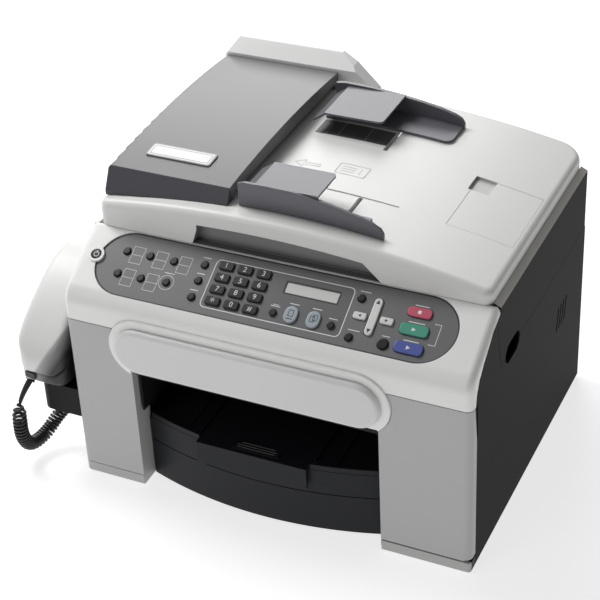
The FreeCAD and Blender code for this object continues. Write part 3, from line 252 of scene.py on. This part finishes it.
MATERIALS = {
    "white_case": plastic("white_case", (0.76, 0.76, 0.745), 0.42),
    "grey_front": plastic("grey_front", (0.47, 0.47, 0.47), 0.44),
    "light_grey": plastic("light_grey", (0.70, 0.70, 0.70), 0.34, bump=0.06),
    "dark_side": plastic("dark_side", (0.010, 0.010, 0.009), 0.6, grain=1000, bump=0.3, specular=0.06),
    "black_case": plastic("black_case", (0.012, 0.012, 0.013), 0.5, grain=1000, bump=0.3, specular=0.14),
    "foot_rubber": plastic("foot_rubber", (0.025, 0.025, 0.025), 0.8),
    "circuit_board": plastic("circuit_board", (0.02, 0.13, 0.05), 0.35, coat=0.3),
    "ink_plastic": plastic("ink_plastic", (0.03, 0.03, 0.035), 0.3),
    "cord_rubber": plastic("cord_rubber", (0.012, 0.012, 0.012), 0.38, edge=0.0002),
    "steel": metal("steel", (0.62, 0.62, 0.62)),
    "tray_plastic": plastic("tray_plastic", (0.012, 0.013, 0.016), 0.45, grain=1100, bump=0.25,
                            specular=0.2),
    "roller_rubber": plastic("roller_rubber", (0.045, 0.045, 0.045), 0.7),
    "platen_glass": clear("platen_glass", (0.8, 0.86, 0.84), 0.3),
    "panel_grey": plastic("panel_grey", (0.145, 0.145, 0.15), 0.42, bump=0.06),
    "display_glass": plastic("display_glass", (0.72, 0.73, 0.71), 0.2, bump=0.02, coat=0.2),
    "white_foam": plastic("white_foam", (0.8, 0.8, 0.78), 0.6),
    "feeder_grey": plastic("feeder_grey", (0.142, 0.139, 0.145), 0.40, bump=0.08),
    "guide_grey": plastic("guide_grey", (0.125, 0.124, 0.142), 0.38, bump=0.06, specular=0.5),
    "mode_key": plastic("mode_key", (0.36, 0.41, 0.45), 0.3, bump=0.02, coat=0.15),
    "red_key": plastic("red_key", (0.58, 0.10, 0.16), 0.32, bump=0.02, coat=0.1),
    "green_key": plastic("green_key", (0.07, 0.33, 0.23), 0.32, bump=0.02, coat=0.1),
    "blue_key": plastic("blue_key", (0.08, 0.11, 0.38), 0.32, bump=0.02, coat=0.1),
    "white_key": plastic("white_key", (0.74, 0.74, 0.73), 0.3, bump=0.03, coat=0.2),
    "black_key": plastic("black_key", (0.012, 0.012, 0.013), 0.34, bump=0.02, specular=0.35),
}
# Painted shade: the inner side of the handset darkens past two slanting planes, white through grey to
# black.
HANDSET_SLANT = (0.845, 0.0, -0.536)
HANDSET_PAINTED_SHADE = (((0.36, 0.36, 0.36), (-36, 0, 121), HANDSET_SLANT, 3),
                 ((0.03, 0.03, 0.03), (-33, 0, 119), HANDSET_SLANT, 12))
OWN_MATERIALS = {
    "scanner_case": plastic("scanner_two_tone_and_shade", (0.010, 0.010, 0.009), 0.6, grain=1000, bump=0.3,
                            specular=0.06, node="scanner_case",
                            zones=(((0.62, 0.61, 0.57), (-1, 70, 244.9), (399, 330, 249)),
                                   ((0.76, 0.76, 0.745), (-1, 60, 236), (8, 92, 249)),
                                   # Painted shade: grey on the front strip below the lid's front edge,
                                   # seen through the grip recess.
                                   ((0.16, 0.16, 0.16), (8, 60, 240), (390, 76.5, 250)))),
    "base_pan": plastic("pan_two_tone", (0.012, 0.012, 0.013), 0.5, grain=1000, bump=0.3, specular=0.14,
                        node="base_pan", zones=(((0.50, 0.50, 0.49), (-1, -1, -1), (399, 3.2, 20)),)),
    "document_cover": plastic("lid_painted_light_and_shade", (0.76, 0.76, 0.745), 0.42, node="document_cover",
                              # Painted shade: grey inside the lid's grip recess.
                              zones=(((0.22, 0.22, 0.22), (103, 66.6, 246), (292, 84, 271)),
                                     # Painted shade: a darker strip and a lighter patch in the finger
                                     # notch at the lid's right.
                                     ((0.38, 0.38, 0.38), (318.6, 203.6, 250), (321.5, 228.5, 290)),
                                     ((0.6, 0.6, 0.59), (321.5, 203.6, 250), (339.4, 228.5, 290)),
                                     # Painted shade under the rear guide's flange, also standing for the
                                     # dark channel the guide slides in.
                                     ((0.10, 0.10, 0.105), (151, 236.5, 262), (225, 263.5, 290)),
                                     # Painted light: the lid's hump, whose slope faces away from the
                                     # lamps, is set near white.
                                     ((0.97, 0.97, 0.96), (0, 329, 283), (180, 353, 317)))),
    # Painted light: the control housing is the white case plastic, set lighter to make up for its underlit
    # sloping front.
    "control_housing": plastic("housing_white_painted_light", (0.86, 0.86, 0.845), 0.42),
    # Painted shade: the feeder cover's front face, past a slanting plane, is darkened to a bluish
    # near-black.
    "adf_cover": plastic("feeder_painted_shade", (0.142, 0.139, 0.145), 0.40, bump=0.08, node="adf_cover",
                         fades=(((0.045, 0.045, 0.06), (70, 90.5, 297.3), (0, -0.95, -0.312), 0.8),)),
    "handset_shell": plastic("handset_shell_painted_shade", (0.76, 0.76, 0.745), 0.42, node="handset_shell",
                             fades=HANDSET_PAINTED_SHADE),
    "handset_grip": plastic("handset_grip_painted_shade", (0.76, 0.76, 0.745), 0.42, node="handset_grip",
                            fades=HANDSET_PAINTED_SHADE),
    "main_board": plastic("board_green", (0.02, 0.13, 0.05), 0.35, coat=0.3, node="main_board",
                          zones=(((0.014, 0.014, 0.015), (314, 286, 10.62), (379, 323, 60)),
                                 ((0.02, 0.02, 0.022), (317, 160, 10.62), (390, 284, 60)))),
}
for row in frame["record"]["subparts"]:
    mesh = NODES[row["node"]].data
    mesh.materials.clear()
    mesh.materials.append(OWN_MATERIALS.get(row["node"], MATERIALS[row["material_slot"]]))


# ---------------------------------------------------------------- softened mouldings

def soften(node, voxel, repeat):
    """Turns a faceted CAD blank into a smooth moulding: an even skin of quads, relaxed."""
    remesh = NODES[node].modifiers.new("skin", "REMESH")
    remesh.mode = "VOXEL"
    remesh.voxel_size = voxel * MM
    remesh.use_smooth_shade = True
    relax = NODES[node].modifiers.new("relax", "SMOOTH")
    relax.factor = 0.5
    relax.iterations = repeat


soften("handset_shell", 1.0, 30)
soften("handset_grip", 1.0, 50)


# ---------------------------------------------------------------- printing on surfaces

PANEL = Matrix.Translation(at(0, PANEL_TOP_Y, LID_LOW)) @ Matrix.Rotation(SLOPE, 4, "X")
PLATE, KEY_TOP = -1.2, 0.7        # heights of the plate and of the keys over the slope, in mm


def panel_at(lift):
    return PANEL @ Matrix.Translation((0, 0, lift * MM))


def round_rect(x, y, width, height, radius, corner=6):
    """Outline of a rounded rectangle, in millimetres."""
    points = []
    for i, (sx, sy) in enumerate(((1, 1), (-1, 1), (-1, -1), (1, -1))):
        cx = x + sx * (width / 2 - radius)
        cy = y + sy * (height / 2 - radius)
        for k in range(corner + 1):
            a = math.radians(90 * i + 90 * k / corner)
            points.append((cx + radius * math.cos(a), cy + radius * math.sin(a)))
    return points


def frame_of(x, y, width, height, radius, line):
    """Two outlines: a rounded frame of the given line width."""
    return [round_rect(x, y, width, height, radius),
            round_rect(x, y, width - 2 * line, height - 2 * line, max(0.05, radius - line))]


def bar(x, y, width, height):
    return [(x - width / 2, y - height / 2), (x + width / 2, y - height / 2),
            (x + width / 2, y + height / 2), (x - width / 2, y + height / 2)]


def printed(name, outlines, place, material, body, thick=0.05, groups=False):
    """Flat shapes from outlines in millimetres, a hair thick, laid at a matrix on a surface."""
    mesh = bpy.data.meshes.new(name)
    form = bmesh.new()
    for group in (outlines if groups else [outlines]):
        data = bpy.data.curves.new(name, "CURVE")
        data.dimensions = "2D"
        data.fill_mode = "BOTH"
        data.extrude = thick * MM / 2
        for outline in group:
            spline = data.splines.new("POLY")
            spline.points.add(len(outline) - 1)
            for point, (x, y) in zip(spline.points, outline):
                point.co = (x * MM, y * MM, 0, 1)
            spline.use_cyclic_u = True
        holder = bpy.data.objects.new(name, data)
        part = bpy.data.meshes.new_from_object(holder)
        form.from_mesh(part)
        bpy.data.objects.remove(holder)
        bpy.data.meshes.remove(part)
    form.to_mesh(mesh)
    form.free()
    mesh.materials.append(material)
    obj = bpy.data.objects.new(name, mesh)
    bpy.context.scene.collection.objects.link(obj)
    obj.matrix_world = place
    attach(obj, body)
    return obj


def lettered(name, text, x, y, size, place, material, body):
    """A digit or sign centred at x, y."""
    data = bpy.data.curves.new(name, "FONT")
    data.body = text
    data.size = size * MM
    data.align_x = "CENTER"
    data.align_y = "CENTER"
    data.extrude = 0.02 * MM
    data.resolution_u = 4
    holder = bpy.data.objects.new(name, data)
    mesh = bpy.data.meshes.new_from_object(holder)
    bpy.data.objects.remove(holder)
    mesh.materials.clear()
    mesh.materials.append(material)
    obj = bpy.data.objects.new(name, mesh)
    bpy.context.scene.collection.objects.link(obj)
    obj.matrix_world = place @ Matrix.Translation((x * MM, y * MM, 0))
    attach(obj, body)
    return obj


INK_WHITE = plastic("ink_white", (0.80, 0.80, 0.80), 0.5, bump=0.02)
# Dark ink for print, also used as painted shade round the panel plate and in the handset's socket mouth.
DARK_INK_AND_SHADE = plastic("ink_dark_and_shade", (0.03, 0.03, 0.03), 0.5, bump=0.02)
# Grey ink, also used as painted highlights on the paper support's tab.
GREY_INK_AND_HIGHLIGHT = plastic("ink_grey_and_highlight", (0.34, 0.34, 0.34), 0.5, bump=0.02)
# Painted shade for the lid's engraved signs.
ENGRAVING_SHADE = plastic("engraving_shade", (0.52, 0.52, 0.51), 0.5, bump=0.02)
SILVER = plastic("badge_silver", (0.64, 0.64, 0.64), 0.28, bump=0.03, coat=0.3)
BADGE_RIM = plastic("badge_rim", (0.22, 0.22, 0.22), 0.3, bump=0.03)
PLATE_DARK = plastic("plate_dark", (0.105, 0.105, 0.11), 0.42, bump=0.05)

ONE_TOUCH = ((45.5, 21), (69.5, 21), (94, 21), (45.5, 44.5), (69.5, 44.5))
LINE_KEYS = ((124.2, 18), (124.2, 34.5), (124.2, 51.5))
DIAL = (("key_1", "1"), ("key_2", "2"), ("key_3", "3"), ("key_4", "4"), ("key_5", "5"), ("key_6", "6"),
        ("key_7", "7"), ("key_8", "8"), ("key_9", "9"), ("key_star", "*"), ("key_0", "0"),
        ("key_hash", "#"))
DIAL_COLUMNS, DIAL_ROWS = (145.5, 164, 182.5), (15, 27, 39, 51)


def arrow(x, y, size, toward):
    """A small triangle pointing left (-1), right (1), up (2) or down (-2)."""
    if abs(toward) == 1:
        return [(x - toward * size, y - size), (x + toward * size, y), (x - toward * size, y + size)]
    step = size * toward / 2
    return [(x - size, y - step), (x + size, y - step), (x, y + step)]


def make_panel_graphics():
    lift = panel_at(PLATE + 0.03)
    field = [round_rect(202, -33.9, 133, 47, 4), round_rect(231.8, -22.2, 50.6, 10.6, 1)]
    printed("panel_field", field, panel_at(PLATE + 0.01), PLATE_DARK, "root", 0.04)
    printed("panel_frame", frame_of(202, -33.9, 136, 49.5, 5, 0.9), lift, INK_WHITE, "root")
    # Painted shade: a thin dark ring round the plate's edge, where the plate sits in its recess.
    rim = [round_rect(195.5, -33.55, 350.7, 65.2, 32.5, 24),
           round_rect(195.5, -33.55, 348.6, 63.1, 31.5, 24)]
    printed("panel_rim_painted_shade", rim, lift, DARK_INK_AND_SHADE, "root")
    labels = []
    for x, drop in ONE_TOUCH:
        labels.append(frame_of(x + 11.2, -drop - 2, 12, 17.5, 0.6, 0.5))
        labels.append([bar(x + 11.2, -drop - 2, 11.4, 0.5)])
    labels += [[bar(x, -drop + 7.2, 8, 0.9)] for x, drop in LINE_KEYS]
    labels += [[bar(204, -42.3, 9, 0.8)], [bar(204, -40.8, 6, 0.6)], [bar(259.5, -42.4, 8, 0.8)]]
    labels += [[bar(279, -10.6, 10, 0.9)], [bar(281, -48.6, 11, 0.8)], [bar(310.5, -47.5, 7, 0.8)]]
    labels += [[bar(332.4, -12.6, 13, 0.9)], [bar(332.6, -29.1, 15, 0.9)], [bar(333.4, -46.9, 14, 0.9)]]
    labels += [[bar(220.7, -36.6, 9, 0.8)], [bar(242.5, -36.6, 9, 0.8)], [bar(95, -33.6, 10, 0.8)]]
    labels += [[bar(354.5, -36.5, 0.6, 20)], [bar(351.5, -26.5, 6.6, 0.6)], [bar(351.5, -46.5, 6.6, 0.6)]]
    labels += [frame_of(95, -43, 15, 15, 7.4, 0.5)]
    printed("panel_labels", labels, lift, INK_WHITE, "root", groups=True)
    printed("display_bezel", frame_of(231.8, -22.2, 53.4, 13.4, 1.5, 1.5), lift, DARK_INK_AND_SHADE, "root", 0.06)
    for i, (node, sign) in enumerate(DIAL):
        drop = DIAL_ROWS[i // 3] + (1.4 if sign == "*" else 0)
        lettered("digit_" + node, sign, DIAL_COLUMNS[i % 3], -drop, 7.2 if sign != "*" else 10,
                 panel_at(KEY_TOP + 0.02), INK_WHITE, owner(node))
    top = panel_at(KEY_TOP + 0.02)
    printed("arrow_left", [arrow(281.6, -34.2, 1.4, -1)], top, DARK_INK_AND_SHADE, owner("left_key"))
    printed("arrow_right", [arrow(306.6, -33.8, 1.4, 1)], top, DARK_INK_AND_SHADE, owner("right_key"))
    printed("rocker_marks", [[arrow(294, -18.2, 1.9, 2)], [arrow(294, -46.8, 1.9, -2)]], top, DARK_INK_AND_SHADE,
            owner("rocker_key"), groups=True)
    printed("power_mark", [frame_of(17.6, -31, 5.4, 5.4, 2.69, 0.6), [bar(17.6, -28.6, 0.8, 2.6)]], top,
            INK_WHITE, owner("power_key"), groups=True)
    page = [frame_of(221, -46.5, 5, 6.5, 0.4, 0.6), [bar(221, -52, 6, 0.8)]]
    printed("fax_mode_mark", page, top, DARK_INK_AND_SHADE, owner("fax_mode_key"), groups=True)
    pages = [frame_of(241.6, -47.5, 4.4, 6, 0.4, 0.6), frame_of(244, -46, 4.4, 6, 0.4, 0.6)]
    printed("copy_mode_mark", pages, top, DARK_INK_AND_SHADE, owner("copy_mode_key"), groups=True)
    stop = [round_rect(332.5, -19.5, 3.2, 3.2, 0.4)]
    printed("stop_mark", stop, top, INK_WHITE, owner("stop_key"))
    printed("colour_start_mark", [arrow(332.7, -36.5, 1.9, 1)], top, INK_WHITE, owner("colour_start_key"))
    printed("mono_start_mark", [arrow(333.4, -54, 1.9, 1)], top, INK_WHITE, owner("mono_start_key"))


def make_handset_jack():
    """Dark mouth of the cord socket in the rounded front end of the handset: a dark patch as painted shade
    for the opening.
    """
    place = Matrix.Translation(at(-45, -4.9, 107.5)) @ Matrix.Rotation(math.radians(-10), 4, "Z")
    upright = place @ Matrix.Rotation(math.radians(90), 4, "X")
    printed("handset_jack_mouth", [round_rect(0, 0, 12, 6.5, 1)], upright, DARK_INK_AND_SHADE,
            owner("handset_grip"), 2.6)


def make_tray_marks():
    """Pale lines on the raised tab of the paper support: painted highlights."""
    lines = [[bar(187.5, y, w, 0.7)] for y, w in ((4.2, 38), (7.4, 40), (10.8, 34))]
    place = Matrix.Translation(at(0, 0, 77.1 + 0.02))
    printed("support_highlight_lines", lines, place, GREY_INK_AND_HIGHLIGHT, owner("paper_support"), groups=True)


def owner(node):
    """Name of the body a CAD node rides on."""
    return body_of(NODES[node])[0]


def on_crown(x, y, lift=0.0):
    """A matrix on the lid's crowned top at x, y, its z along the surface normal."""
    tilt = math.asin((x - CROWN_MIDDLE) / CROWN_RADIUS)
    return Matrix.Translation(at(x, y, crown_z(x, lift))) @ Matrix.Rotation(tilt, 4, "Y")


def make_lid_graphics():
    """The badge plate and the two loading signs, which carry no lettering. The signs are engraved in the
    lid; their faint grey is painted shade in the engraved lines.
    """
    slope = math.atan2(1.8, 20)
    place = Matrix.Translation(at(67.5, 124, 301.42)) @ Matrix.Rotation(slope, 4, "X")
    body = owner("adf_cover")
    printed("badge_rim", [round_rect(0, 0, 67, 20, 3)], place, BADGE_RIM, body, 0.9)
    printed("badge_plate", [round_rect(0, 0, 64, 17, 2.2)], place @ Matrix.Translation((0, 0, 0.25 * MM)),
            SILVER, body, 0.8)
    printed("badge_line", frame_of(0, 0, 60.5, 13.5, 1.4, 0.7),
            place @ Matrix.Translation((0, 0, 0.66 * MM)),
            BADGE_RIM, body)
    lid = owner("document_cover")
    page = [frame_of(0, 0, 30, 19, 1.2, 0.8), [bar(-4, 4, 14, 0.8)], [bar(-4, 0, 14, 0.8)],
            [bar(-4, -4, 14, 0.8)],
            [bar(8, 0, 0.8, 10)]]
    printed("page_sign", page, on_crown(214, 182, 0.04), ENGRAVING_SHADE, lid, groups=True)
    sign = [(-13, -2.4), (3, -2.4), (3, -7), (13, 0), (3, 7), (3, 2.4), (-13, 2.4)]
    inner = [(-12.2, -1.6), (3.8, -1.6), (3.8, -5.2), (11.6, 0), (3.8, 5.2), (3.8, 1.6), (-12.2, 1.6)]
    printed("arrow_sign", [sign, inner], on_crown(170, 178, 0.04) @ Matrix.Rotation(math.pi, 4, "Z"),
            ENGRAVING_SHADE, lid)
    for i, x in enumerate((162, 174, 202)):
        printed("guide_bed_rib_%d" % i, [bar(0, 0, 0.8, 24)], on_crown(x, 250, 0.03), GREY_INK_AND_HIGHLIGHT, lid)


make_panel_graphics()
make_lid_graphics()
make_tray_marks()
make_handset_jack()


# ---------------------------------------------------------------- handset cord

CORD_ROUTE = ((-55.5, 6, 90.5), (-60.4, -9.5, 77), (-59.9, -14.1, 56.2), (-60.1, -14.2, 34.4),
              (-59.9, -3.9, 16.5), (-54.5, 16.6, 17.5), (-47.6, 33.3, 32.9), (-34.1, 46.4, 47.9),
              (-13.5, 57, 57))
COIL_RADIUS, WIRE_DIAMETER, BOOT_LENGTH = 6.0, 3.0, 24.0
COIL_PITCH_TIGHT, COIL_PITCH_OPEN = 3.5, 7.6
OPEN_SHARE = 0.3                    # share of the route over which the coil closes up
COIL_RISE, COIL_FALL = 12.0, 6.0    # stretches over which the coil grows and shrinks at its ends, in mm
TURN_POINTS, WALK_STEP = 14, 0.15   # points in one turn, and the step along the route, in mm


def spline_curve(name, points, order=3):
    data = bpy.data.curves.new(name, "CURVE")
    data.dimensions = "3D"
    spline = data.splines.new("NURBS")
    spline.points.add(len(points) - 1)
    for point, co in zip(spline.points, points):
        point.co = (*co, 1)
    spline.order_u = order
    spline.use_endpoint_u = True
    return data, spline


def read_line(data):
    holder = bpy.data.objects.new("route_reader", data)
    mesh = bpy.data.meshes.new_from_object(holder)
    points = [v.co.copy() for v in mesh.vertices]
    bpy.data.meshes.remove(mesh)
    bpy.data.objects.remove(holder)
    return points


def make_boot(walked):
    """Smooth tapered sleeve where the cord leaves the handset."""
    count = int(BOOT_LENGTH * MM / (walked[1] - walked[0]).length)
    picks = [walked[int(i * count / 8)] for i in range(9)]
    data, spline = spline_curve("handset_cord_boot", picks)
    spline.resolution_u = 6
    for point, size in zip(spline.points, (1.0, 0.98, 0.95, 0.9, 0.86, 0.8, 0.74, 0.68, 0.6)):
        point.radius = size
    data.bevel_depth = 3.1 * MM
    data.bevel_resolution = 5
    data.use_fill_caps = True
    data.materials.append(MATERIALS["cord_rubber"])
    boot = bpy.data.objects.new("cord_boot", data)
    bpy.context.scene.collection.objects.link(boot)
    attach(boot, "root")


def make_cord():
    """A curled cord: one wire wound round the smooth line of the cord's route."""
    route, spline = spline_curve("cord_route", [at(*p) for p in CORD_ROUTE])
    spline.resolution_u = 60
    line = read_line(route)
    walked = [line[0]]
    for a, b in zip(line, line[1:]):
        count = max(1, round((b - a).length / (WALK_STEP * MM)))
        walked += [a.lerp(b, (i + 1) / count) for i in range(count)]
    total = sum((b - a).length for a, b in zip(walked, walked[1:]))
    side = Vector((1, 0, 0))
    angle, done, turned = 0.0, 0.0, 0.0
    helix = [walked[0].copy()]
    for a, b in zip(walked, walked[1:]):
        ahead = (b - a).normalized()
        side = (side - ahead * side.dot(ahead)).normalized()
        third = ahead.cross(side)
        length = (b - a).length
        done += length
        share = done / total
        opening = max(0.0, 1 - share / OPEN_SHARE)
        past_boot = max(0.0, done - BOOT_LENGTH * MM) / (COIL_RISE * MM)
        ends = min(1.0, past_boot, max(0.0, total - done) / (COIL_FALL * MM))
        pitch = (COIL_PITCH_TIGHT + (COIL_PITCH_OPEN - COIL_PITCH_TIGHT) * opening) * MM
        angle += 2 * math.pi * length / pitch
        if past_boot == 0:
            angle = 0.0
        if angle - turned >= 2 * math.pi / TURN_POINTS:
            turned = angle
            radius = COIL_RADIUS * MM * math.sin(ends * math.pi / 2)
            helix.append(b + side * radius * math.cos(angle) + third * radius * math.sin(angle))
    helix.append(walked[-1].copy())
    data, spline = spline_curve("handset_cord_wire", helix)
    spline.resolution_u = 2
    make_boot(walked)
    data.bevel_depth = WIRE_DIAMETER * MM / 2
    data.bevel_resolution = 3
    data.use_fill_caps = True
    data.materials.append(MATERIALS["cord_rubber"])
    wire = bpy.data.objects.new("cord_wire", data)
    bpy.context.scene.collection.objects.link(wire)
    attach(wire, "root")
    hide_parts("handset_cord")


make_cord()


# ---------------------------------------------------------------- studio

def soft_light(name, position, target, size, power, colour=(1, 1, 1)):
    data = bpy.data.lights.new(name, "AREA")
    data.shape = "DISK"
    data.size = size
    data.energy = power
    data.color = colour
    light = bpy.data.objects.new(name, data)
    bpy.context.scene.collection.objects.link(light)
    light.location = position
    light.rotation_mode = "QUATERNION"
    light.rotation_quaternion = (Vector(target) - Vector(position)).to_track_quat("-Z", "Y")


def make_studio():
    world = bpy.data.worlds.new("studio")
    bpy.context.scene.world = world
    world.use_nodes = True
    world.node_tree.nodes["Background"].inputs["Color"].default_value = (1, 1, 1, 1)
    world.node_tree.nodes["Background"].inputs["Strength"].default_value = 0.17
    soft_light("key", (-1.35, 0.35, 1.9), (0, 0, 0.15), 1.0, 37)
    soft_light("sheen", (-0.85, 1.75, 1.4), (0, 0, 0.25), 1.5, 26)
    soft_light("fill", (-0.9, -2.2, 1.3), (0, 0, 0.15), 1.6, 8.5)
    mesh = bpy.data.meshes.new("floor")
    form = bmesh.new()
    bmesh.ops.create_grid(form, x_segments=24, y_segments=24, size=6)
    form.to_mesh(mesh)
    form.free()
    floor = bpy.data.objects.new("floor", mesh)
    bpy.context.scene.collection.objects.link(floor)
    paint = plastic("floor_paint", (0.42, 0.42, 0.42), 0.7, grain=300, bump=0.02, mottle=0.005)
    glow = paint.node_tree.nodes["Principled BSDF"].inputs
    glow["Emission Color"].default_value = (1, 1, 1, 1)
    glow["Emission Strength"].default_value = 0.74
    mesh.materials.append(paint)
    bpy.context.scene.view_settings.view_transform = "Standard"


make_studio()
